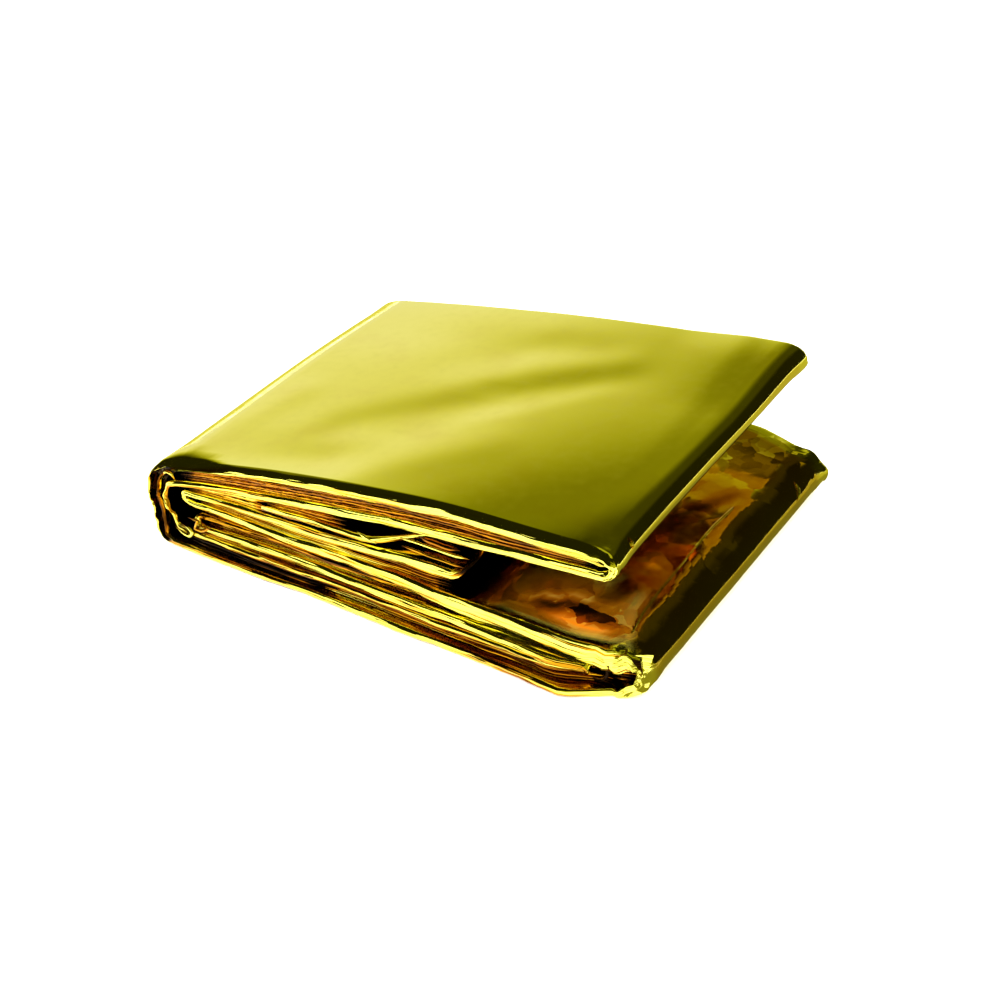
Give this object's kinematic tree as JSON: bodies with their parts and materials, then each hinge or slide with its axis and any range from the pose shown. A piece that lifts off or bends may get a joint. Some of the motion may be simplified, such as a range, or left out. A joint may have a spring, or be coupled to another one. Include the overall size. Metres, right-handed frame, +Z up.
{
  "type": "folded emergency foil blanket",
  "caption": "Gold metallised film blanket folded back and forth into a flat pack, lying half open like a book; unfolds to wrap a person and hold in body heat.",
  "frame": {"origin": "middle of the pack's outline seen from above, on the face that it lies on", "axes": "+X from the spine to the open ends, +Y along the spine to the back, +Z up"},
  "size_m": [0.1362, 0.1104, 0.0385],
  "materials": {
    "gold_foil": "gold-tinted mirror film with soft creases"
  },
  "bodies": {
    "root": {"foil_blanket": "gold_foil"}
  },
  "joints": []
}
